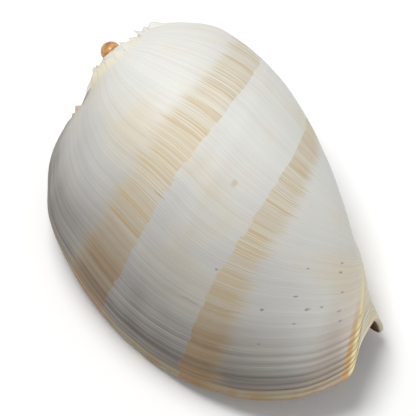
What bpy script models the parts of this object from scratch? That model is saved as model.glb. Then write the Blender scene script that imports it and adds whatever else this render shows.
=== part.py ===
"""A crowned baler shell: one thin spiral wall round a folded pillar, lying on its open side.

The wall is one outline, the growing lip, swept round the shell's axis while it grows by a fixed
factor each turn. In the shell's own frame the axis is Y with the crown at +Y and the back is +Z.
SEAT then turns that frame to the pose the shell comes to rest in. Sizes here are millimetres.
"""

from math import cos, exp, log, pi, radians, sin

import bmesh
import bpy
from mathutils import Matrix, Vector

MM = 0.001

# The growing lip, full size, from the seam on the earlier turn to the tip of the pillar:
# distance from the axis, distance below the pole of the spiral, and how far it trails in degrees.
LIP = [
    (18.0, 6.8, 0),
    (31.0, 11.2, 0),
    (45.5, 13.3, 0),
    (56.5, 19.0, 0),
    (77.5, 31.0, 0),
    (100.0, 57.5, 2),
    (109.5, 92.0, 5.5),
    (113.0, 127.5, 6.5),
    (109.0, 162.0, 11.5),
    (99.0, 192.5, 21),
    (85.0, 220.5, 32),
    (65.5, 244.0, 51),
    (49.5, 251.0, 75),
    (43.5, 240.0, 101),
    (30.0, 236.5, 130),
    (14.0, 245.5, 163),
    (5.0, 231.0, 195),
]
CROWN = 2  # the point of LIP that carries the spines
STEPS_PER_SPAN = 2
GROWTH_PER_TURN = 2.7
TURNS = 2.1
LIP_PAST_SIDE = 12.0  # degrees that the lip curls under, past the shell's widest side
COLUMN_STEP = (6.5, 18.0)  # degrees between columns, at the lip and at the start

WALL = 3.0
WALL_AT_START = 0.35  # the least thickness of the wall, as a share of WALL

# The pillar at the axis: distances below the pole and its half-thickness there.
PILLAR = [(18.0, 5.0), (60.0, 9.0), (95.0, 16.0), (140.0, 15.5), (190.0, 12.5), (220.0, 8.5), (233.0, 4.5)]
PILLAR_RINGS = 26
PILLAR_SIDES = 16
PILLAR_SWAY = 9.0  # how far its tip leaves the axis to meet the end of the lip
PILLAR_SWAY_FROM = 175.0
FOLDS = (136.0, 158.0, 183.0)  # where its three folds cross the middle of the opening
FOLD_BEARING = -70.0
FOLD_HEIGHT = 4.5
FOLD_WIDTH = 14.0  # degrees
FOLDS_FROM, FOLDS_TO, FOLDS_FADE = 60.0, 235.0, 40.0  # below the pole, and how slowly they come and go

FIRST_CHAMBER = 6.2  # radius of the dome that the shell started as
FIRST_CHAMBER_DEPTH = 2.2

# The spines of the crown: how far behind the lip, in degrees, and how tall for a full-size shell.
SPINES = [
    *((18, 7.5), (29, 8.5), (41, 4), (70, 7), (78, 9), (86.5, 10.5), (97, 12), (107, 7), (118, 8.5)),
    *((131, 8.5), (144, 10), (158, 7), (171, 7), (185, 10.5), (199, 8.5)),
]
MORE_SPINES = (213, 480, 14, 7)  # the first and last of the rest, their spacing and their height
SPINE_RADIUS = 3.6
SPINE_FLATNESS = 0.6  # how thick they are towards the axis, as a share of their width
SPINE_TIP = 0.2  # the blunt tip's radius, as a share of the foot's
SPINE_LEAN = 0.6  # how much they lean to the axis, as a share of their height
SPINE_SUNK = 4.0  # how deep the foot lies in the wall
SPINE_SLOWNESS = 0.6  # the power of the shell's size that the spines grow with
SPINE_SIDES = 6
FLAT = Matrix.Diagonal((1, SPINE_FLATNESS, 1, 1))

# The shell at rest on the lip, the earlier turn and the tip: how it is turned, and the pole's place.
ROLL = -12.90
PITCH = 16.73
POLE_AT = (21.25, 123.61, 72.06)
TURNED = Matrix.Rotation(radians(PITCH), 4, "X") @ Matrix.Rotation(radians(ROLL), 4, "Y")
SEAT = Matrix.Translation(POLE_AT) @ TURNED

COLOUR = (0.80, 0.72, 0.60, 1.0)
ROUGHNESS = 0.4


def growth(turned):
    """Size of the lip at an angle of growth in radians, 0 at the finished lip and negative before."""
    return exp(log(GROWTH_PER_TURN) * turned / (2 * pi))


def turned_at(size):
    """The angle of growth at which the lip had that size."""
    return 2 * pi * log(size) / log(GROWTH_PER_TURN)


def through(points, steps):
    """A smooth Catmull-Rom line through the points, with a few steps on each span."""
    ends = [2 * points[0] - points[1], *points, 2 * points[-1] - points[-2]]
    line = []
    for before, start, end, after in zip(ends, ends[1:], ends[2:], ends[3:]):
        for step in range(steps):
            x = step / steps
            line.append(
                start
                + (end - before) * x / 2
                + (2 * before - 5 * start + 4 * end - after) * x * x / 2
                + (3 * start - before - 3 * end + after) * x**3 / 2
            )
    return [*line, points[-1]]


def around(radius, below, bearing):
    """The point at that distance from the axis, distance below the pole and bearing round the axis."""
    return Vector((-radius * cos(bearing), -below, radius * sin(bearing)))


def on_wall(lip_point, turned):
    """Where a point of the lip was at that angle of growth."""
    radius, below, trail = lip_point
    size = growth(turned)
    return around(radius * size, below * size, radians(trail - LIP_PAST_SIDE) - turned)


def growth_angles():
    """The angles of the wall's columns, wider apart towards the small first turns."""
    end = -TURNS * 2 * pi
    angles = [0.0]
    while angles[-1] > end:
        step = COLUMN_STEP[0] + (COLUMN_STEP[1] - COLUMN_STEP[0]) * angles[-1] / end
        angles.append(angles[-1] - radians(step))
    return angles


def triangles(a, b, c, d):
    """The two triangles of a four-sided patch, parted along its shorter diagonal."""
    if (a.co - c.co).length <= (b.co - d.co).length:
        return (a, b, c), (a, c, d)
    return (a, b, d), (b, c, d)


def add_object(name, mesh, collection):
    """An object from a mesh in millimetres in the shell's own frame."""
    mesh.transform(Matrix.Scale(MM, 4) @ SEAT)
    data = bpy.data.meshes.new(name)
    mesh.to_mesh(data)
    mesh.free()
    data.shade_smooth()
    made = bpy.data.objects.new(name, data)
    collection.objects.link(made)
    return made


def skin(rows, rings=False):
    """A mesh that joins rows of points, or rings of them, which are capped at both ends."""
    mesh = bmesh.new()
    grid = [[mesh.verts.new(point) for point in row] for row in rows]
    for row, following in zip(grid, grid[1:]):
        count = len(row)
        for i in range(count if rings else count - 1):
            j = (i + 1) % count
            for corners in triangles(row[i], row[j], following[j], following[i]):
                mesh.faces.new(corners)
    if rings:
        mesh.faces.new(reversed(grid[0]))
        mesh.faces.new(grid[-1])
    return mesh


def add_wall(collection):
    """The spiral wall, thinner towards its first turns."""
    lip = through([Vector(point) for point in LIP], STEPS_PER_SPAN)
    columns = growth_angles()
    wall = add_object("shell", skin([[on_wall(point, t) for point in lip] for t in columns]), collection)
    group = wall.vertex_groups.new(name="thickness")
    for column, turned in enumerate(columns):
        first = column * len(lip)
        group.add(list(range(first, first + len(lip))), growth(turned), "REPLACE")
    solid = wall.modifiers.new("wall", "SOLIDIFY")
    solid.thickness = WALL * MM
    solid.offset = -1
    solid.vertex_group = group.name
    solid.thickness_vertex_group = WALL_AT_START
    return wall


def pillar_radius(below, bearing):
    """The pillar's half-thickness there, with its folds, which follow the spiral of growth."""
    radius = PILLAR[-1][1]
    for start, end in zip(PILLAR, PILLAR[1:]):
        if start[0] <= below < end[0]:
            radius = start[1] + (end[1] - start[1]) * (below - start[0]) / (end[0] - start[0])
    folds = 0.0
    for crossing in FOLDS:
        off = bearing - radians(FOLD_BEARING) + turned_at(below / crossing)
        off = (off + pi) % (2 * pi) - pi
        folds += exp(-((off / radians(FOLD_WIDTH)) ** 2))
    shown = max(0.0, min(1.0, (below - FOLDS_FROM) / FOLDS_FADE, (FOLDS_TO - below) / FOLDS_FADE))
    return radius + FOLD_HEIGHT * folds * shown


def add_pillar(collection):
    """The twisted pillar at the axis. Its tip sways out to meet the end of the lip."""
    top, tip = PILLAR[0][0], PILLAR[-1][0]
    rows = []
    for ring in range(PILLAR_RINGS + 1):
        below = top + (tip - top) * ring / PILLAR_RINGS
        share = max(0.0, (below - PILLAR_SWAY_FROM) / (tip - PILLAR_SWAY_FROM))
        sway_bearing = radians(LIP[-1][2] - LIP_PAST_SIDE) - turned_at(below / tip)
        middle = around(PILLAR_SWAY * share**2, 0, sway_bearing)
        bearings = [2 * pi * side / PILLAR_SIDES for side in range(PILLAR_SIDES)]
        rows.append([middle + around(pillar_radius(below, b), below, b) for b in bearings])
    return add_object("pillar", skin(rows, rings=True), collection)


def add_first_chamber(collection):
    """The smooth dome at the top of the spiral."""
    mesh = bmesh.new()
    place = Matrix.Translation((0, -FIRST_CHAMBER_DEPTH, 0))
    bmesh.ops.create_uvsphere(mesh, u_segments=16, v_segments=10, radius=FIRST_CHAMBER, matrix=place)
    return add_object("first_chamber", mesh, collection)


def add_spines(collection):
    """The crown of short flat spines, each sunk in the wall and leaning to the axis."""
    mesh = bmesh.new()
    start, end, step, height = MORE_SPINES
    for behind, tall in [*SPINES, *((place, height) for place in range(start, end, step))]:
        turned = -radians(behind)
        size = growth(turned) ** SPINE_SLOWNESS
        foot = on_wall(LIP[CROWN], turned)
        inward = -Vector((foot.x, 0, foot.z)).normalized()
        rise = (Vector((0, 1, 0)) + inward * SPINE_LEAN).normalized()
        side = rise.cross(inward).normalized()
        turn = Matrix((side, rise.cross(side), rise)).transposed().to_4x4()
        bmesh.ops.create_cone(
            mesh,
            cap_ends=True,
            segments=SPINE_SIDES,
            radius1=SPINE_RADIUS * size,
            radius2=SPINE_RADIUS * SPINE_TIP * size,
            depth=(tall + SPINE_SUNK) * size,
            matrix=Matrix.Translation(foot + rise * (tall - SPINE_SUNK) / 2 * size) @ turn @ FLAT,
        )
    return add_object("spines", mesh, collection)


def unite(base, others):
    """One body from all of them. The wall also crosses itself, where each turn sits on the last."""
    for other in others:
        other.hide_render = True
        other.display_type = "WIRE"
        joined = base.modifiers.new(other.name, "BOOLEAN")
        joined.operation = "UNION"
        joined.solver = "EXACT"
        joined.use_self = True
        joined.object = other


def add_material(made):
    """A plain cream stand-in for the shell's surface."""
    material = bpy.data.materials.new(made.name)
    material.use_nodes = True
    surface = material.node_tree.nodes["Principled BSDF"]
    surface.inputs["Base Color"].default_value = COLOUR
    surface.inputs["Roughness"].default_value = ROUGHNESS
    surface.inputs["Metallic"].default_value = 0.0
    made.data.materials.append(material)


def add_collection(name):
    """A new collection in the scene."""
    made = bpy.data.collections.new(name)
    bpy.context.scene.collection.children.link(made)
    return made


def main():
    for old in list(bpy.data.objects):
        bpy.data.objects.remove(old)
    parts = add_collection("conch_shell")
    guides = add_collection("joined_pieces")
    wall = add_wall(parts)
    add_material(wall)
    unite(wall, [add_pillar(guides), add_first_chamber(guides), add_spines(guides)])


main()
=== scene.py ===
"""A crowned baler shell, lying on its opening on a pale floor.

The wall is one outline, the growing lip, carried round a spiral while it grows. Lengths are in
millimetres in the shell's own frame, where the axis is Y with the crown at +Y and the back is +Z,
until a piece is seated on the floor in metres.
"""

from math import cos, exp, log, pi, radians, sin

import bmesh
import bpy
import numpy as np
from mathutils import Matrix, Vector


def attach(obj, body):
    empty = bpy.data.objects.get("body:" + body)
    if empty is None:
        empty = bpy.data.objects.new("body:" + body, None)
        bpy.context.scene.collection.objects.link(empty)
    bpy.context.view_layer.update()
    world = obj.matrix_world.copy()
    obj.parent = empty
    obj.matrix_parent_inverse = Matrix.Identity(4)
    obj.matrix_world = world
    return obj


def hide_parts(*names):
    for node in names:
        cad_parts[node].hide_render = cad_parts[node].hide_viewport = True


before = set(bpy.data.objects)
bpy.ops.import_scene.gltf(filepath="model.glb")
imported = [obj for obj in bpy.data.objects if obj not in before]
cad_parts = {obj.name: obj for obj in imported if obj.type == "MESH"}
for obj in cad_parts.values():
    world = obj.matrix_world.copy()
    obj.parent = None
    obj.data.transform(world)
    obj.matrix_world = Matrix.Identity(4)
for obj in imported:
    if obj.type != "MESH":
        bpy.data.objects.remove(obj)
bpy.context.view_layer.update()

bpy.ops.object.select_all(action="DESELECT")

MM = 0.001

# The lip, from the seam on the earlier turn to the tip of the pillar: distance from the axis,
# distance below the pole of the spiral, and how far it trails in degrees.
LIP = np.array(
    [
        (18.0, 6.8, 0),
        (31.0, 11.2, 0),
        (45.5, 13.3, 0),
        (56.5, 19.0, 0),
        (77.5, 31.0, 0),
        (100.0, 57.5, 2),
        (109.5, 92.0, 5.5),
        (113.0, 127.5, 6.5),
        (109.0, 162.0, 11.5),
        (99.0, 192.5, 21),
        (85.0, 220.5, 32),
        (65.5, 244.0, 51),
        (49.5, 251.0, 75),
        (43.5, 240.0, 101),
        (30.0, 236.5, 130),
        (14.0, 245.5, 163),
        (5.0, 231.0, 195),
    ]
)
CROWN = 2.0  # where the spines grow, as a place in LIP
RIDGE = 12.08  # where the ridge beside the front notch runs
TIP = 15.0  # where the front tip begins
GROWTH = log(2.7) / (2 * pi)  # the shell grows 2.7 times larger in a turn
LIP_PAST_SIDE = 12.0  # how far the lip has grown past the shell's side, in degrees
TURNS = 2.1  # how many turns the wall has
WALL = 3.0  # its thickness at the lip
WALL_LEAST = 0.35  # the share of that thickness which the first turns have

# How the shell lies on the floor: its turns in degrees, and where the pole of the spiral is.
ROLL = -12.90
PITCH = 16.73
POLE_AT = (21.25, 123.61, 72.06)
TURNED = Matrix.Rotation(radians(PITCH), 4, "X") @ Matrix.Rotation(radians(ROLL), 4, "Y")
SEAT = Matrix.Translation(POLE_AT) @ TURNED

# The pillar at the axis: distances below the pole and its half-thickness there.
PILLAR = np.array([(18, 5.0), (60, 9.0), (95, 16.0), (140, 15.5), (190, 12.5), (220, 8.5), (233, 4.5)])
PILLAR_SIDES, PILLAR_RINGS = 96, 169
PILLAR_SWAY = 9.0  # how far its front end bends off the axis
PILLAR_SWAY_FROM = 175.0  # below the pole
FOLDS = (136.0, 158.0, 183.0)  # below the pole, where they cross FOLD_BEARING
FOLD_BEARING = -70.0
FOLD_HEIGHT = 4.5
FOLD_WIDTH = 14.0  # degrees
FOLD_BLUNTNESS = 1.8
FOLDS_FROM, FOLDS_TO, FOLDS_FADE = 60.0, 235.0, 40.0  # below the pole, and how slowly they come and go

FIRST_CHAMBER = 6.45  # radius of the dome that the shell started as
FIRST_CHAMBER_AT = (0.55, -2.4, 0.0)
FIRST_CHAMBER_WIDER = 0.03  # the share it is wider on one side and narrower on the other
FIRST_CHAMBER_WIDEST = 0.6  # the bearing of its wider side, in radians
FIRST_CHAMBER_SIDES, FIRST_CHAMBER_RINGS = 64, 40

# How finely the wall is made: columns outside, round the lip's edge and inside, and rows.
OUTSIDE, EDGE, INSIDE, ROWS = 520, 6, 170, 122
COLUMNS_CLOSER = 0.35  # how much closer together the columns lie towards the lip
EDGE_REACH = 0.8  # how far the lip's edge bulges forward, as a share of half the wall
LIP_SAMPLES = 4000  # places where the length round the lip is measured
# Where rows lie closer together: the place, how far that reaches, and how much closer.
CLOSE_ROWS = ((CROWN, 0.45, 5.0), (RIDGE, 0.9, 1.2))
AROUND_LIP = 110.0 / GROWTH  # millimetres grown at the shell's widest, for a whole unit of size

# The spines of the crown: how far behind the lip, in degrees, and how tall for a full-size shell.
SPINES = [
    *((10, 3), (24, 4.6), (68, 4.4), (78.5, 8.4), (85, 8.2), (90.5, 9), (103.5, 9.4), (117, 10.5)),
    *((130.5, 7.6), (149, 10.5), (166, 5), (187, 6.5), (203, 5)),
    *((behind, 5 if behind < 400 else 1.5) for behind in range(217, 480, 14)),
]
SPINE_THICKNESS = 2.1
SPINE_TAPER = (1.15, 0.6)  # how thick the foot is, and how much less the top, as shares of that
SPINE_BLUNTNESS = (1.2, 2.4)  # along the crown and across it
SPINE_SWAY, SPINE_SWAY_STEP = 0.8, 1.7  # how far middle lines stray, and how unlike the next it is
SPINE_SLANT = 0.2  # how far a spine's line moves across the crown, as a share of its length
SPINE_SLOWNESS = 0.6  # the power of the shell's size that spines and ridges grow with
SPINE_FOOT_SLOWNESS = 0.4  # and that the spines' feet grow with
CROWN_PLACE = 14.0  # about how far it is from one place in LIP to the next at the crown
SPINE_REACH = (2.2, 9.0)  # how far the foot reaches towards the lip and away from it
# How far behind the lip, in degrees, and how much the spines lean to the axis there.
SPINE_LEAN = ((160.0, 180.0, 195.0, 215.0), (0.6, -1.2, -1.2, 0.6))
LONG_SPINE = (187, 15.0)  # the spine that runs on down the shoulder, and how far
CROWN_SAG = 5.0  # how far the worn crown near the lip lies sunk
CROWN_SAG_OVER, CROWN_SAG_FADE = 124.0, 35.0  # over how much growth, and how slowly it ends
CROWN_SAG_WIDTH = 0.9
EARLY_SAG = 1.5  # how far the first turns lie sunk, so that the first chamber stands clear
EARLY_SIZE, EARLY_FADE = 0.36, 0.06

# Ridges of growth: how far apart, how high anywhere, and how much higher near the lip.
COARSE_RIDGES = (4.2, 0.05, 0.42)
FINE_RIDGES = (2.1, 0.04, 0.10)
NEAR_LIP = 45.0
WAVES, WAVE_LENGTH, WAVE_TURN, WAVES_FROM = 0.3, 60.0, 3.1, 3.0  # broad waves in the wall
RIDGE_WANDER = (1.2, 1.3)  # how far the ridges stray from a line of growth, and how often
FRONT, FRONT_CALMER = 9.5, 0.55  # where coarse ridges get lower towards the front, and how much
# Where the relief begins and ends along the lip, and over how many places it does.
RELIEF_FROM, RELIEF_TO = (0.6, 0.8), (15.4, 1.5)
BEAD, BEAD_WIDTH = 0.5, 2.6  # the bead at the lip's edge
# The ridge beside the front notch, and the hollow along it: how high and wide, as a place in LIP.
RIDGE_HEIGHT, RIDGE_WIDTH = 0.9, 0.34
RIDGE_HOLLOW, RIDGE_HOLLOW_WIDTH, RIDGE_HOLLOW_AT = 0.8, 0.45, 0.75
RIDGE_FADE = (1.3, 400.0)  # both fade with what was grown since the lip

# Rests of growth near the lip: distance from it, half-width and depth.
RESTS = (
    *((8.0, 1.6, 0.7), (14.5, 1.4, 0.6), (21.0, 1.6, 0.5), (28.0, 2.8, 1.1), (34.5, 2.4, 0.9)),
    *((42.0, 2.2, 0.6), (50.0, 2.0, 0.4), (60.0, 2.4, 0.3)),
)
RESTS_UNEVEN = (0.8, 0.35, 0.9)  # how deep each is in all, how unevenly, and how often
# How far the lines of growth lie behind the lip's edge: places along the lip, and millimetres.
LINE_DRIFT = ((3.0, 5.0, 6.8, 8.0, 9.0, 11.0, 13.0), (0.0, 3.0, 8.0, 3.0, -3.0, -3.0, 0.0))
LINE_DRIFT_OVER = 12.0  # over how much growth that comes in
# How far the lip is worn back, and by how much more and how often, in two sizes of notches.
LIP_WORN, LIP_ROUGH, LIP_FINE = 0.5, (0.5, 6.0), (0.3, 17.0)
# The lip's chips: the place, half-width and depth.
CHIPS = ((9.55, 0.10, 1.6), (9.8, 0.05, 1.0), (11.15, 0.16, 2.0), (11.5, 0.08, 1.2), (7.4, 0.1, 0.8))
WEAR_REACH, BEAD_REACH = 8.0, 2.0  # how far behind the edge the wear and, inside, the bead are felt

# The growth map, in units of 100 mm: across is what was grown since the lip, along is round the lip.
UV_UNIT = 100.0
GROWN_UNDER = 4.15  # what was grown since the lip lay where it now covers the earlier turn
CHAMBER_PIT = (4.3, -4.6, 3.8)  # a dark pit in the first chamber, in the shell's own frame

# The two spiral bands, in units of the growth map: the sharp edge and the soft one along the lip,
# how far both move as the shell grows, and between which places they do.
BANDS = ((1.53, 1.18, 0.15, 1.7, 0.5), (2.25, 2.52, 0.08, 1.2, 0.4))
# In the same units, pits with their radius, and cracks with where they start and end.
PITS = [
    *((0.92, 3.00, 0.017), (1.03, 2.87, 0.012), (0.94, 3.11, 0.010), (1.26, 3.18, 0.012)),
    *((1.06, 3.25, 0.013), (0.87, 3.28, 0.011), (0.76, 3.31, 0.013), (0.90, 2.68, 0.011)),
    *((1.07, 2.23, 0.007), (1.26, 2.86, 0.008), (1.35, 3.16, 0.009), (0.67, 3.51, 0.015)),
    *((0.80, 2.95, 0.007), (0.62, 2.77, 0.009)),
]
PIT_LENGTH = 0.6  # pits are drawn out along the lip, and their edges are rough
PIT_ROUGHNESS = 0.024
CRACKS = ((1.20, 1.51, 1.61), (0.80, 2.13, 2.25))
STAIN = (1.56, 1.955, 0)  # one small stain, in the same units
TAN_SHARE = (0.40, 0.60)  # how strong each colour of the bands is, far from the lip and near it
STREAK_SHARE = (0.50, 0.85)
BROWN_SHARE = (0.90, 0.80)  # the same for brown, on the first band and the second

IVORY = (0.68, 0.68, 0.645, 1)
CREAM = (0.68, 0.62, 0.49, 1)
# Lilac-grey near the lip: partly the shell's own tone, darkened as painted shade.
LILAC_GREY_AND_SHADE = (0.160, 0.145, 0.140, 1)
LINE = (0.30, 0.24, 0.17, 1)
PALE_LINE = (0.74, 0.72, 0.67, 1)
TAN = (0.63, 0.54, 0.325, 1)
STREAK = (0.45, 0.29, 0.10, 1)
BROWN = (0.19, 0.095, 0.035, 1)
# Brown near the lip, partly the shell's own tone and partly painted shade; also the painted shade of the
# broad groove.
LIP_BROWN_AND_SHADE = (0.125, 0.105, 0.09, 1)
# Painted shade for the hollows between the ridges near the lip.
HOLLOW_SHADE = (0.12, 0.095, 0.075, 1)
RIM = (0.38, 0.32, 0.185, 1)
RIM_BROWN = (0.30, 0.15, 0.045, 1)
YELLOW_CREAM = (0.80, 0.68, 0.34, 1)
# Pinkish tan beside the front ridge: partly the shell's tint, partly painted shade of the hollow there.
PINK_TAN_AND_SHADE = (0.50, 0.38, 0.29, 1)
ORANGE_BROWN = (0.52, 0.31, 0.09, 1)
PIT = (0.06, 0.045, 0.03, 1)
GLAZE = (0.74, 0.66, 0.54, 1)
GLAZE_WARM = (0.72, 0.54, 0.36, 1)
TIP_BROWN = (0.15, 0.065, 0.015, 1)
CHAMBER = (0.60, 0.32, 0.11, 1)
CHAMBER_DARK = (0.34, 0.14, 0.04, 1)

FINE_RELIEF = 0.0004  # how high a surface's fine relief stands, in metres

# The camera looks along the shell's own Z: its slant to the axis in degrees, the point it looks
# at, how far away it is and how wide its view is.
CAMERA_SLANT = 48.7
CAMERA_TARGET = (-18.6, -115.9, 0.0)
CAMERA_AWAY = 3000.0
VIEW_WIDTH = 260.0
CAMERA_SENSOR = 36.0
CAMERA_SIGHT = 20.0  # metres

WORLD = 0.43  # how strong the even light is
# The lights, as seen by the camera: places in metres, size and power.
LIGHTS = {"key": ((-0.4, 1.1, 1.45), 1.0, 28.0), "fill": ((1.4, -0.3, 0.9), 1.2, 2.0)}
LIT_MIDDLE = (0, 0, 0.05)
FLOOR_SIZE = 6.0
FLOOR_COLOUR = (0.93, 0.93, 0.93, 1)
FLOOR_ROUGHNESS = 0.8


def noise(seed):
    """A smooth random line between -1 and 1, as a function of place."""
    table = np.random.default_rng(seed).uniform(-1, 1, 4096)

    def at(place):
        place = np.asarray(place, float) + 1000.0
        cell = np.floor(place).astype(int)
        share = place - cell
        share = share * share * (3 - 2 * share)
        return table[cell % 4096] * (1 - share) + table[(cell + 1) % 4096] * share

    return at


def bump(values, middle, width):
    """A smooth bump of height 1."""
    return np.exp(-(((values - middle) / width) ** 2))


def lip_at(place):
    """The lip at places between its first point, 0, and its last."""
    line = np.vstack([2 * LIP[0] - LIP[1], LIP, 2 * LIP[-1] - LIP[-2]])
    first = np.clip(np.floor(place).astype(int), 0, len(LIP) - 2)
    x = (place - first)[..., None]
    before, start, end, after = (line[first + k] for k in range(4))
    return (
        start
        + (end - before) * x / 2
        + (2 * before - 5 * start + 4 * end - after) * x * x / 2
        + (3 * start - before - 3 * end + after) * x**3 / 2
    )


def around(radius, below, bearing):
    """Points at that distance from the axis, distance below the pole and bearing round the axis."""
    return np.stack([-radius * np.cos(bearing), -below, radius * np.sin(bearing)], axis=-1)


def on_wall(place, size):
    """The wall where that place of the lip was when the shell had that share of its size."""
    radius, below, trail = np.moveaxis(lip_at(place), -1, 0)
    bearing = np.radians(trail - LIP_PAST_SIDE) - np.log(size) / GROWTH
    return around(radius * size, below * size, bearing)


def unit(vectors):
    return vectors / np.maximum(np.linalg.norm(vectors, axis=-1, keepdims=True), 1e-9)


def outward(place, size):
    """The way out of the wall, and the way it grows, at those places."""
    step = 1e-3
    along = on_wall(place + step, size) - on_wall(place - step, size)
    grown = on_wall(place, size * (1 + step)) - on_wall(place, size * (1 - step))
    return unit(np.cross(grown, along)), unit(grown)


def row_places():
    """Places along the lip for the rows, close together at the crown and the ridge."""
    place = np.linspace(0, len(LIP) - 1, LIP_SAMPLES)
    steps = np.diff(on_wall(place, np.ones(LIP_SAMPLES)), axis=0)
    length = np.r_[0, np.cumsum(np.linalg.norm(steps, axis=1))]
    closeness = 1 + sum(more * bump(place, where, reach) for where, reach, more in CLOSE_ROWS)
    weight = np.r_[0, np.cumsum(np.diff(length) * (closeness[1:] + closeness[:-1]) / 2)]
    rows = np.interp(np.linspace(0, weight[-1], ROWS), weight, place)
    return rows, np.interp(rows, place, length)


def length_at(place):
    """How far round the lip a place is, in units of the growth map."""
    return np.interp(place, *row_places()) / UV_UNIT


def spine_rise(place, size):
    """How far the spines stand out there: each rises slowly with growth and ends steeply."""
    small = size**SPINE_FOOT_SLOWNESS
    side = (place - CROWN) * CROWN_PLACE * small
    rise = np.zeros_like(place)
    for number, (behind, tall) in enumerate(SPINES):
        ahead = (np.log(size) / GROWTH + radians(behind)) * LIP[2][0] * small
        reach = np.where(ahead > 0, SPINE_REACH[0], SPINE_REACH[1])
        shape = np.clip(1 - np.abs(ahead / reach) ** SPINE_BLUNTNESS[0], 0, 1)
        across = side - SPINE_SWAY * noise(11)(number * SPINE_SWAY_STEP) - SPINE_SLANT * ahead
        thick = SPINE_THICKNESS * (SPINE_TAPER[0] - SPINE_TAPER[1] * shape)
        if behind == LONG_SPINE[0]:
            thick = np.where(across > 0, LONG_SPINE[1], thick)
        rise = np.maximum(rise, tall * shape * np.exp(-np.abs(across / thick) ** SPINE_BLUNTNESS[1]))
    return rise


def line_grown(place, grown):
    """How much was grown after the line of growth through that place, which the worn edge cuts."""
    drift = np.interp(place, *LINE_DRIFT)
    return grown - drift * (1 - np.exp(-grown / LINE_DRIFT_OVER))


def wall_relief(place, grown):
    """Growth ridges, rests near the lip and the bead at its edge, in millimetres."""
    drift = line_grown(place, grown) + RIDGE_WANDER[0] * noise(5)(place * RIDGE_WANDER[1])
    near = np.exp(-grown / NEAR_LIP)
    near_coarse = near * (1 - FRONT_CALMER * np.clip(place - FRONT, 0, 1))
    lift = 0.0
    for seed, (apart, anywhere, more), close in ((1, COARSE_RIDGES, near_coarse), (2, FINE_RIDGES, near)):
        lift = lift + (anywhere + more * close) * noise(seed)(drift / apart)
    waves = noise(3)(grown / WAVE_LENGTH + WAVE_TURN * place)
    lift += WAVES * waves * np.clip(place - WAVES_FROM, 0, 1)
    whole, uneven, often = RESTS_UNEVEN
    for far, wide, deep in RESTS:
        lift -= deep * (whole + uneven * noise(int(far * 10))(place * often)) * bump(drift, far, wide)
    lift += BEAD * bump(grown, 0, BEAD_WIDTH)
    lift *= np.clip((place - RELIEF_FROM[0]) / RELIEF_FROM[1], 0, 1)
    lift *= np.clip((RELIEF_TO[0] - place) / RELIEF_TO[1], 0, 1)
    ridge = RIDGE_HEIGHT * bump(place, RIDGE, RIDGE_WIDTH)
    ridge = ridge - RIDGE_HOLLOW * bump(place, RIDGE - RIDGE_HOLLOW_AT, RIDGE_HOLLOW_WIDTH)
    return lift + ridge * np.clip(RIDGE_FADE[0] - grown / RIDGE_FADE[1], 0, 1)


def sagged(place, size):
    """The wall's points, with the worn crown near the lip and the first turns sunk along the axis."""
    points = on_wall(place, size)
    late = np.clip((CROWN_SAG_OVER - AROUND_LIP * (1 - size)) / CROWN_SAG_FADE, 0, 1)
    sunk = CROWN_SAG * late * late * (3 - 2 * late)
    sunk = sunk + EARLY_SAG * np.clip((EARLY_SIZE - size) / EARLY_FADE, 0, 1)
    points[..., 1] -= sunk * bump(place, CROWN - 0.1, CROWN_SAG_WIDTH)
    return points


def outer_detail(place, size, out):
    """What the outside adds to the smooth wall: its relief and the crown of spines."""
    crown = on_wall(np.full_like(size, CROWN), size)
    crown[..., 1] = 0
    inward = np.interp(-np.degrees(np.log(size) / GROWTH), *SPINE_LEAN)[..., None]
    lean = unit(np.array([0.0, 1.0, 0.0]) - inward * unit(crown))
    scale = (size**SPINE_SLOWNESS)[..., None]
    lift = wall_relief(place, AROUND_LIP * (1 - size))[..., None]
    return scale * (out * lift + lean * spine_rise(place, size)[..., None])


def lip_wear(place):
    """How far the edge is worn back, in millimetres, with a few chips."""
    worn = LIP_WORN
    for seed, (deep, often) in ((21, LIP_ROUGH), (22, LIP_FINE)):
        worn = worn + deep * noise(seed)(place * often)
    for where, wide, deep in CHIPS:
        worn = worn + deep * bump(place, where, wide)
    return np.clip(worn, 0, None)


def worn_sizes(rows, size, grown):
    """The shell's size along one column, which follows the worn edge near the lip."""
    return np.full(ROWS, size) - lip_wear(rows) / AROUND_LIP * exp(-grown / WEAR_REACH)


def wall_columns():
    """The wall's points, column by column, with what was grown since and where it faces.

    The columns run along the outside to the lip, round its edge, then back along the inside.
    """
    rows, lengths = row_places()
    least = exp(-GROWTH * TURNS * 2 * pi)
    half = WALL / 2
    whole = 1 - half / AROUND_LIP
    columns = []
    share = np.linspace(0, 1, OUTSIDE)
    share = (1 + COLUMNS_CLOSER) * share - COLUMNS_CLOSER * share**2
    for size in least + (whole - least) * share:
        grown = AROUND_LIP * (1 - size)
        sizes = worn_sizes(rows, size, grown)
        out, forward = outward(rows, sizes)
        columns.append((sagged(rows, sizes) + outer_detail(rows, sizes, out), grown, 0.0))
    last = columns[-1][0]
    for step in range(1, EDGE):
        angle = pi * step / EDGE
        points = last - out * half * (1 - cos(angle)) + forward * half * EDGE_REACH * sin(angle)
        columns.append((points, 0.0, step / EDGE))
    for size in np.linspace(whole, least, INSIDE):
        grown = AROUND_LIP * (1 - size)
        sizes = worn_sizes(rows, size, grown)
        out, forward = outward(rows, sizes)
        thick = WALL * max(size, WALL_LEAST)
        bead = outer_detail(rows, sizes, out) * exp(-grown / BEAD_REACH)
        columns.append((sagged(rows, sizes) - out * thick + bead, grown, 1.0))
    return rows, lengths, columns


def seated(points):
    """Points of the shell's own frame, in millimetres, as points on the floor in metres."""
    seat = np.array(Matrix.Scale(MM, 4) @ SEAT)
    return np.asarray(points, float).reshape(-1, 3) @ seat[:3, :3].T + seat[:3, 3]


def put(piece, points):
    """Moves every vertex to its point of the shell's own frame, or the floor if that is higher."""
    where = seated(points)
    where[:, 2] = np.maximum(where[:, 2], 0)
    piece.data.vertices.foreach_set("co", where.ravel())
    piece.data.update()


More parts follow.
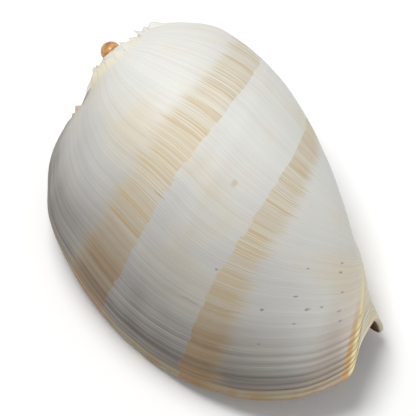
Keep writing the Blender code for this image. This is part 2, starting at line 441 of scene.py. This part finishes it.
def finish(piece, *materials):
    """Smooth faces that look outwards, the materials, and what the piece stands for."""
    bpy.ops.object.select_all(action="DESELECT")
    piece.select_set(True)
    bpy.context.view_layer.objects.active = piece
    bpy.ops.object.mode_set(mode="EDIT")
    bpy.ops.mesh.select_all(action="SELECT")
    bpy.ops.mesh.normals_make_consistent(inside=False)
    bpy.ops.object.mode_set(mode="OBJECT")
    bpy.ops.object.shade_smooth()
    for material in materials:
        piece.data.materials.append(material)
    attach(piece, "root")
    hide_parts("shell")
    piece.select_set(False)


def add_grid(name, across, along):
    """A flat sheet with that many vertices each way. Its vertices run across first."""
    bpy.ops.mesh.primitive_grid_add(x_subdivisions=across - 1, y_subdivisions=along - 1, size=1)
    piece = bpy.context.object
    piece.name = piece.data.name = name
    return piece


def zipped(first, second):
    """Triangles between two lines of vertices that run side by side."""
    faces = []
    i = j = 0
    while i < len(first) - 1 or j < len(second) - 1:
        ahead = (i + 1) * len(second) <= (j + 1) * len(first)
        if j == len(second) - 1 or (ahead and i < len(first) - 1):
            faces.append((first[i], first[i + 1], second[j]))
            i += 1
        else:
            faces.append((first[i], second[j + 1], second[j]))
            j += 1
    return faces


def close_sheet(piece, across, fold):
    """Joins the sheet's two halves, folded at the lip, along its other three sides."""
    mesh = bmesh.new()
    mesh.from_mesh(piece.data)
    mesh.verts.ensure_lookup_table()
    for row in (0, ROWS - 1):
        line = [row * across + column for column in range(across)]
        for face in zipped(line[: fold + 1], line[: fold - 1 : -1]):
            if len(set(face)) == 3:
                mesh.faces.new([mesh.verts[corner] for corner in face])
    for row in range(ROWS - 1):
        corners = (row * across, (row + 1) * across, (row + 2) * across - 1, (row + 1) * across - 1)
        mesh.faces.new([mesh.verts[corner] for corner in corners])
    mesh.to_mesh(piece.data)
    mesh.free()


def store_growth(data, rows, lengths, grown):
    """The growth map, as a UV map, and the relief, as a value of each vertex."""
    growth_map = data.uv_layers.active
    growth_map.name = "growth"
    corners = np.empty(len(data.loops), int)
    data.loops.foreach_get("vertex_index", corners)
    lines = line_grown(rows[:, None], grown[None, :]).ravel()
    uv = np.stack([lines[corners], lengths[corners // len(grown)]], axis=1) / UV_UNIT
    growth_map.data.foreach_set("uv", uv.ravel())
    relief = data.attributes.new("relief", "FLOAT", "POINT")
    relief.data.foreach_set("value", wall_relief(rows[:, None], grown[None, :]).ravel())


def add_wall(outer, glaze):
    """The spiral wall: one sheet that runs outside to the lip, round its edge and back inside."""
    rows, lengths, columns = wall_columns()
    across = len(columns)
    piece = add_grid("wall", across, ROWS)
    points, grown, facing = zip(*columns)
    put(piece, np.stack(points, axis=1))
    store_growth(piece.data, rows, lengths, np.array(grown))
    column = np.arange(len(piece.data.polygons)) % (across - 1)
    inside = np.array(facing)[column] > 0.75
    piece.data.polygons.foreach_set("material_index", inside.astype(int))
    close_sheet(piece, across, OUTSIDE + EDGE // 2 - 1)
    finish(piece, outer, glaze)


def pillar_points():
    """The pillar's points, ring by ring from the pole down, with its folds."""
    rings = np.linspace(PILLAR[0][0], PILLAR[-1][0], PILLAR_RINGS + 1)
    bearing, below = np.meshgrid(np.linspace(0, 2 * pi, PILLAR_SIDES + 1), rings)
    radius = np.interp(below, PILLAR[:, 0], PILLAR[:, 1])
    folds = np.zeros_like(below)
    for crossing in FOLDS:
        off = bearing - radians(FOLD_BEARING) + np.log(below / crossing) / GROWTH
        off = (off + pi) % (2 * pi) - pi
        folds += np.exp(-np.abs(off / radians(FOLD_WIDTH)) ** FOLD_BLUNTNESS)
    shown = np.clip(np.minimum(below - FOLDS_FROM, FOLDS_TO - below) / FOLDS_FADE, 0, 1)
    radius += FOLD_HEIGHT * folds * shown
    share = np.clip((below - PILLAR_SWAY_FROM) / (PILLAR[-1][0] - PILLAR_SWAY_FROM), 0, 1)
    sway_bearing = radians(LIP[-1][2] - LIP_PAST_SIDE) - np.log(below / PILLAR[-1][0]) / GROWTH
    middle = around(PILLAR_SWAY * share**2, np.zeros_like(below), sway_bearing)
    return middle + around(radius, below, bearing)


def add_pillar(glaze):
    """The twisted pillar, which the earlier turn hides in part: a sheet rolled up and closed."""
    piece = add_grid("pillar", PILLAR_SIDES + 1, PILLAR_RINGS + 1)
    put(piece, pillar_points())
    bpy.ops.object.mode_set(mode="EDIT")
    bpy.ops.mesh.select_all(action="SELECT")
    bpy.ops.mesh.remove_doubles(threshold=1e-6)
    bpy.ops.mesh.select_all(action="DESELECT")
    bpy.ops.mesh.select_non_manifold()
    bpy.ops.mesh.fill()
    bpy.ops.object.mode_set(mode="OBJECT")
    finish(piece, glaze)


def add_first_chamber(material):
    """The smooth dome that the shell started as, a little wider on one side."""
    bpy.ops.mesh.primitive_uv_sphere_add(
        segments=FIRST_CHAMBER_SIDES, ring_count=FIRST_CHAMBER_RINGS, radius=FIRST_CHAMBER
    )
    piece = bpy.context.object
    piece.name = piece.data.name = "first_chamber"
    points = np.array([vertex.co for vertex in piece.data.vertices])
    turned = np.arctan2(points[:, 2], -points[:, 0])
    points *= (1 + FIRST_CHAMBER_WIDER * np.cos(turned - FIRST_CHAMBER_WIDEST))[:, None]
    put(piece, points + np.array(FIRST_CHAMBER_AT))
    finish(piece, material)


class Surface:
    """A material whose nodes are added one call at a time.

    Every value below is a share, or a place on the growth map in its units, and a noise is around
    0.5. A ramp goes from one value to another while what it follows goes from low to high.
    """

    def __init__(self, name):
        self.material = bpy.data.materials.new(name)
        self.material.use_nodes = True
        self.tree = self.material.node_tree
        self.shader = self.tree.nodes["Principled BSDF"]

    def feed(self, socket, value):
        """Gives a socket another node's result or a plain value."""
        if isinstance(value, bpy.types.NodeSocket):
            self.tree.links.new(value, socket)
        else:
            socket.default_value = value

    def node(self, kind, inputs=(), **settings):
        made = self.tree.nodes.new("ShaderNode" + kind)
        for name, value in settings.items():
            setattr(made, name, value)
        for name, value in dict(inputs).items():
            self.feed(made.inputs[name], value)
        return made

    def math(self, operation, first, second=0.0):
        return self.node("Math", {0: first, 1: second}, operation=operation).outputs[0]

    def add(self, first, second):
        return self.math("ADD", first, second)

    def times(self, first, second):
        return self.math("MULTIPLY", first, second)

    def ramp(self, value, low, high, to_low=0.0, to_high=1.0, smooth=True):
        """A value carried from one range to another, and held at its ends."""
        inputs = {"Value": value, "From Min": low, "From Max": high, "To Min": to_low, "To Max": to_high}
        kind = "SMOOTHSTEP" if smooth else "LINEAR"
        return self.node("MapRange", inputs, interpolation_type=kind, clamp=True).outputs["Result"]

    def at(self, x, y, z=0.0):
        return self.node("CombineXYZ", {"X": x, "Y": y, "Z": z}).outputs[0]

    def noise(self, place, scale=1.0, detail=2.0, rough=0.5):
        inputs = {"Vector": place, "Scale": scale, "Detail": detail, "Roughness": rough}
        return self.node("TexNoise", inputs).outputs["Fac"]

    def mix(self, share, first, second):
        return self.node("Mix", {0: share, 6: first, 7: second}, data_type="RGBA").outputs[2]

    def distance(self, first, second):
        return self.node("VectorMath", {0: first, 1: second}, operation="DISTANCE").outputs["Value"]

    def random(self, value):
        return self.node("TexWhiteNoise", {"W": value}, noise_dimensions="1D").outputs["Value"]

    def most(self, values):
        """The largest of several values."""
        most = values[0]
        for value in values[1:]:
            most = self.math("MAXIMUM", most, value)
        return most

    def growth_map(self):
        """What was grown since the lip, and how far round the lip, in units of 100 mm."""
        parts = self.node("SeparateXYZ", {0: self.node("UVMap", uv_map="growth").outputs[0]})
        return parts.outputs[0], parts.outputs[1]

    def window(self, value, low, high, soft):
        """1 between two places and 0 beyond them."""
        rise = self.ramp(value, self.add(low, -soft), self.add(low, soft))
        fall = self.ramp(value, self.add(high, -soft), self.add(high, soft), 1.0, 0.0)
        return self.times(rise, fall)

    def finish(self, colour, roughness, height, strength):
        """The material, with its fine relief and how strongly that shows."""
        raised = self.node("Bump", {"Height": height, "Strength": strength, "Distance": FINE_RELIEF})
        self.feed(self.shader.inputs["Base Color"], colour)
        self.feed(self.shader.inputs["Roughness"], roughness)
        self.feed(self.shader.inputs["Normal"], raised.outputs[0])
        return self.material


def growth_lines(s, grown, along, ridge_at, patches, lines):
    """Ivory and cream with lines of growth; near the lip, lilac-grey and brown that are partly the
    shell's own tone and partly painted shade.
    """
    broad = s.noise(s.at(s.times(grown, 2.4), s.times(along, 1.1), 4.0), 1.0, 2.0)
    mottled = s.add(s.times(patches, 0.5), s.times(broad, 0.5))
    colour = s.mix(s.ramp(mottled, 0.46, 0.68), IVORY, CREAM)
    # Painted shade with the shell's own lilac-grey: the young wall near the lip is darkened, less towards
    # the front ridge.
    lip_grey_and_shade = s.ramp(grown, 1.8, 0.12, smooth=False)
    lip_grey_and_shade = s.times(lip_grey_and_shade, s.ramp(along, ridge_at - 1.2, ridge_at, 1.0, 0.1))
    colour = s.mix(s.times(lip_grey_and_shade, s.ramp(broad, 0.3, 0.7, 1.0, 0.72)), colour, LILAC_GREY_AND_SHADE)
    # Painted shade with the shell's own brown: dark brown near the lip, stronger away from the front
    # ridge.
    lip_brown_and_shade = s.times(s.ramp(grown, 0.9, 0.12), s.ramp(along, ridge_at - 0.9, ridge_at - 0.2, 0.62, 0.25))
    colour = s.mix(lip_brown_and_shade, colour, LIP_BROWN_AND_SHADE)
    # Painted shade in the broad groove 17 to 30 mm behind the lip, on the shell's own brown.
    groove_shade = s.times(s.window(grown, 0.17, 0.30, 0.04), s.ramp(along, 2.0, 2.4, 0.25, 0.6))
    colour = s.mix(groove_shade, colour, LIP_BROWN_AND_SHADE)
    dark = s.times(s.ramp(lines, 0.50, 0.36), s.ramp(grown, 1.0, 0.2, 0.16, 0.36))
    pale = s.times(s.ramp(lines, 0.54, 0.64), s.ramp(grown, 1.0, 0.2, 0.10, 0.30))
    return s.mix(pale, s.mix(dark, colour, LINE), PALE_LINE)


def band_streaks(s, grown, along):
    """Thin lines and a few wider ones, all along the growth lines."""
    thin = s.noise(s.at(s.times(grown, 64.0), s.times(along, 0.4), 5.0), 1.0, 1.0)
    thin = s.ramp(s.math("ABSOLUTE", s.add(thin, -0.5)), 0.085, 0.03)
    wide = s.noise(s.at(s.times(grown, 75.0), s.times(along, 0.5), 8.0), 1.0, 1.0)
    return s.math("MAXIMUM", thin, s.times(s.ramp(wide, 0.50, 0.64), 0.35))


def spiral_bands(s, grown, along):
    """Where the bands are. Groups of lines start together at a sharp edge and fade at the other."""
    uneven = s.noise(s.at(s.times(grown, 9.0), 0.0), 1.0, 1.0)
    group = s.math("SNAP", s.add(grown, s.times(uneven, 0.10)), 0.06)
    step = s.random(group)
    ragged = s.ramp(s.noise(s.at(s.times(grown, 55.0), 7.0), 1.0, 2.0), 0.40, 0.72)
    bands = []
    for sharp, soft, moved, early, late in BANDS:
        way = 1 if soft > sharp else -1
        width = abs(soft - sharp)
        moving = s.ramp(grown, early, late, 0.0, moved)
        far = s.times(s.add(s.add(along, s.times(moving, -1.0)), -sharp), way)
        start = s.ramp(s.add(far, s.times(s.add(step, -0.5), 0.026)), -0.006, 0.006)
        reach = s.add(s.times(ragged, 0.09), s.times(step, 0.05))
        end = s.ramp(s.add(far, s.times(reach, -1.0)), width - 0.15, width, 1.0, 0.0)
        bands.append(s.times(start, end))
    return s.most(bands), s.random(s.add(group, 7.3))


def tan_bands(s, colour, grown, along, bands, weight, streaks):
    """Pale tan with darker streaks, which turn brown near the lip."""
    shown = s.times(bands, s.ramp(weight, 0.1, 0.9, 0.6, 1.0, smooth=False))
    near = s.ramp(grown, 1.1, 0.15)
    colour = s.mix(s.times(shown, s.ramp(near, 0.0, 1.0, *TAN_SHARE)), colour, TAN)
    streaked = s.times(s.times(shown, streaks), s.ramp(near, 0.0, 1.0, *STREAK_SHARE))
    colour = s.mix(streaked, colour, STREAK)
    brown = s.times(s.times(shown, s.ramp(grown, 1.25, 0.2)), s.ramp(along, 2.1, 2.4, *BROWN_SHARE))
    return s.mix(brown, colour, BROWN)


def lip_rim_and_hollow_shade(s, colour, grown, along, lines, bands):
    """Painted shade in the hollows between the ridges near the lip, and a yellowish rim with brown
    stains.
    """
    relief = s.node("Attribute", attribute_name="relief").outputs["Fac"]
    # Painted shade: hollows in the relief near the lip are darkened, more away from the front.
    hollow_shade = s.times(s.ramp(relief, 0.2, -1.2), s.ramp(grown, 1.0, 0.4))
    colour = s.mix(s.times(hollow_shade, s.ramp(along, 2.2, 2.9, 0.75, 0.35)), colour, HOLLOW_SHADE)
    rim = s.times(s.ramp(grown, 0.17, 0.11), s.ramp(lines, 0.40, 0.60, 0.45, 0.85))
    colour = s.mix(rim, colour, RIM)
    blotches = s.ramp(s.noise(s.at(0.0, s.times(along, 5.0), 3.0), 1.0, 2.0), 0.45, 0.60)
    stain = s.times(s.ramp(grown, 0.16, 0.06), blotches)
    colour = s.mix(s.times(stain, 0.45), colour, RIM_BROWN)
    colour = s.mix(s.times(s.times(s.ramp(grown, 0.17, 0.09), bands), 0.65), colour, RIM_BROWN)
    edge = s.times(s.ramp(grown, 0.06, 0.02), s.ramp(along, 2.1, 2.5, 0.1, 0.55))
    colour = s.mix(edge, colour, RIM_BROWN)
    return s.mix(s.times(s.window(grown, 0.135, 0.165, 0.012), 0.6), colour, BROWN)


def ridge_and_crown(s, colour, grown, along, ridge_at, crown_at, patches):
    """The yellow ridge beside the front notch with its orange seam, pinkish-tan painted shade in the
    hollow beside it, and the yellowish crown.
    """
    # Painted shade of the hollow beside the ridge, in the shell's pinkish tan.
    beside = s.times(s.window(along, ridge_at - 0.34, ridge_at - 0.02, 0.10), s.ramp(grown, 1.6, 0.3))
    colour = s.mix(s.times(beside, 0.38), colour, PINK_TAN_AND_SHADE)
    crest = s.times(s.window(along, ridge_at - 0.03, ridge_at + 0.14, 0.03), s.ramp(grown, 1.5, 1.0))
    colour = s.mix(s.times(crest, 0.85), colour, YELLOW_CREAM)
    seam = s.times(s.window(along, ridge_at - 0.08, ridge_at - 0.03, 0.018), s.ramp(grown, 1.1, 0.35))
    colour = s.mix(s.times(seam, 0.8), colour, ORANGE_BROWN)
    front = s.ramp(along, ridge_at + 0.02, ridge_at + 0.12)
    front_colour = s.mix(s.ramp(patches, 0.4, 0.65, 0.15, 0.6), PALE_LINE, YELLOW_CREAM)
    colour = s.mix(s.times(front, 0.75), colour, front_colour)
    crown = s.window(along, crown_at - 0.05, crown_at + 0.03, 0.03)
    return s.mix(s.times(crown, s.ramp(patches, 0.4, 0.6, 0.05, 0.40)), colour, YELLOW_CREAM)


def pits_and_cracks(s, grown, along, place):
    """How deep the small dents are, each at its own place on the growth map."""
    rough = s.times(s.add(s.noise(place, 500.0, 3.0), -0.5), PIT_ROUGHNESS)
    here = s.at(grown, s.times(along, PIT_LENGTH))
    dents = []
    for pit_grown, pit_along, wide in PITS:
        away = s.add(s.distance(here, (pit_grown, pit_along * PIT_LENGTH, 0)), rough)
        dents.append(s.ramp(away, wide, wide * 0.35))
    wander = s.times(s.add(s.noise(s.at(0.0, s.times(along, 14.0)), 1.0, 2.0), -0.5), 0.03)
    for crack_grown, start, end in CRACKS:
        off = s.math("ABSOLUTE", s.add(s.add(grown, -crack_grown), wander))
        crack = s.times(s.ramp(off, 0.005, 0.002), s.window(along, start, end, 0.03))
        dents.append(s.times(crack, 0.6))
    return s.most(dents)


def outer_surface():
    """The outside: lines of growth, two spiral bands of tan streaks, a stained rim with painted shade
    near the lip, and small dents.
    """
    s = Surface("outer_surface")
    grown, along = s.growth_map()
    place = s.node("TexCoord").outputs["Object"]
    crown_at, ridge_at = length_at(CROWN), length_at(RIDGE)
    patches = s.noise(place, 16.0, 3.0, 0.6)
    lines = s.noise(s.at(s.times(grown, 150.0), s.times(along, 0.35)), 1.0, 2.0, 0.6)
    streaks = band_streaks(s, grown, along)
    bands, weight = spiral_bands(s, grown, along)
    dents = pits_and_cracks(s, grown, along, place)

    colour = growth_lines(s, grown, along, ridge_at, patches, lines)
    colour = tan_bands(s, colour, grown, along, bands, weight, streaks)
    colour = lip_rim_and_hollow_shade(s, colour, grown, along, lines, bands)
    colour = ridge_and_crown(s, colour, grown, along, ridge_at, crown_at, patches)
    colour = s.mix(s.times(dents, 0.45), colour, PIT)
    stain = s.ramp(s.distance(s.at(grown, along), STAIN), 0.035, 0.01)
    colour = s.mix(s.times(stain, 0.4), colour, STREAK)
    height = s.add(s.times(lines, 0.8), s.times(s.times(streaks, bands), 0.25))
    height = s.add(height, s.times(dents, -1.6))

    # Where the opening lies on the earlier turn, the glaze of the inside covers it, with a soft edge.
    edge = s.add(grown, s.times(s.add(s.noise(place, 40.0, 2.0), -0.5), 0.5))
    glazed = s.ramp(edge, GROWN_UNDER, GROWN_UNDER + 0.22)
    glazed = s.times(glazed, s.ramp(along, crown_at + 0.22, crown_at + 0.5))
    colour = s.mix(glazed, colour, s.mix(s.ramp(patches, 0.3, 0.7), GLAZE, GLAZE_WARM))
    height = s.times(height, s.ramp(glazed, 0.0, 1.0, 1.0, 0.1))
    rough = s.math("MINIMUM", s.ramp(lines, 0.3, 0.7, 0.62, 0.50), s.ramp(glazed, 0.0, 1.0, 0.7, 0.25))
    return s.finish(colour, roughness=rough, height=height, strength=0.5)


def glaze_surface():
    """The smooth glaze inside, cream at the lip, warmer further in and brown at the tip."""
    s = Surface("inner_glaze")
    grown, along = s.growth_map()
    place = s.node("TexCoord").outputs["Object"]
    patches = s.noise(place, 18.0, 3.0)
    warm = s.math("MAXIMUM", s.ramp(patches, 0.35, 0.7), s.ramp(grown, 0.3, 2.2))
    colour = s.mix(warm, GLAZE, GLAZE_WARM)
    tip_at = length_at(TIP)
    tip = s.times(s.ramp(along, tip_at - 0.12, tip_at), s.ramp(grown, 0.5, 0.15))
    colour = s.mix(tip, colour, TIP_BROWN)
    return s.finish(colour, roughness=0.22, height=s.noise(place, 90.0, 2.0), strength=0.08)


def pillar_surface():
    """The same glaze on the pillar, in cream and warmer patches."""
    s = Surface("pillar_glaze")
    place = s.node("TexCoord").outputs["Object"]
    colour = s.mix(s.ramp(s.noise(place, 30.0, 3.0), 0.35, 0.7), GLAZE, GLAZE_WARM)
    return s.finish(colour, roughness=0.24, height=s.noise(place, 120.0, 2.0), strength=0.08)


def chamber_surface():
    """The first chamber's glossy orange-brown, with one small dark pit."""
    s = Surface("first_chamber")
    place = s.node("TexCoord").outputs["Object"]
    patches = s.noise(place, 260.0, 4.0, 0.65)
    colour = s.mix(s.ramp(patches, 0.35, 0.65), CHAMBER, CHAMBER_DARK)
    away = s.distance(place, tuple(seated(CHAMBER_PIT)[0]))
    colour = s.mix(s.ramp(away, 0.0011, 0.0006), colour, PIT)
    return s.finish(colour, roughness=0.25, height=patches, strength=0.2)


def add_lights(camera):
    """The lights, placed as the camera sees them and aimed at the shell's middle."""
    view = camera.matrix_world.to_3x3()
    middle = Vector(LIT_MIDDLE)
    for name, (place, size, power) in LIGHTS.items():
        light = bpy.data.lights.new(name, "AREA")
        light.shape = "DISK"
        light.size = size
        light.energy = power
        made = bpy.data.objects.new(name, light)
        bpy.context.scene.collection.objects.link(made)
        made.location = middle + view @ Vector(place)
        made.rotation_mode = "QUATERNION"
        made.rotation_quaternion = (middle - made.location).to_track_quat("-Z", "Y")


def add_camera():
    """Looks straight down on the shell's back, with its axis slanting across the view."""
    slant = radians(CAMERA_SLANT)
    right = Vector((sin(slant), -cos(slant), 0))
    up = Vector((cos(slant), sin(slant), 0))
    target = Vector(CAMERA_TARGET)
    view = Matrix((right, up, Vector((0, 0, 1)))).transposed().to_4x4()
    view = Matrix.Translation(target + Vector((0, 0, CAMERA_AWAY))) @ view
    camera = bpy.data.objects.new("camera", bpy.data.cameras.new("camera"))
    bpy.context.scene.collection.objects.link(camera)
    seat = Matrix.Translation(Vector(POLE_AT) * MM) @ SEAT.to_3x3().to_4x4()
    view.translation *= MM
    camera.matrix_world = seat @ view
    camera.data.sensor_width = CAMERA_SENSOR
    camera.data.lens = CAMERA_SENSOR * CAMERA_AWAY / VIEW_WIDTH
    camera.data.clip_end = CAMERA_SIGHT
    bpy.context.scene.camera = camera
    return camera


def add_floor():
    """The pale floor that the shell lies on."""
    bpy.ops.mesh.primitive_plane_add(size=FLOOR_SIZE)
    floor = bpy.context.object
    floor.name = "floor"
    s = Surface("floor")
    s.feed(s.shader.inputs["Base Color"], FLOOR_COLOUR)
    s.feed(s.shader.inputs["Roughness"], FLOOR_ROUGHNESS)
    floor.data.materials.append(s.material)


def add_world(strength):
    """Even white light from all round."""
    world = bpy.data.worlds.new("studio")
    world.use_nodes = True
    background = world.node_tree.nodes["Background"]
    background.inputs["Color"].default_value = (1, 1, 1, 1)
    background.inputs["Strength"].default_value = strength
    bpy.context.scene.world = world


add_wall(outer_surface(), glaze_surface())
add_pillar(pillar_surface())
add_first_chamber(chamber_surface())
add_lights(add_camera())
add_floor()
add_world(WORLD)
bpy.context.scene.view_settings.view_transform = "Standard"
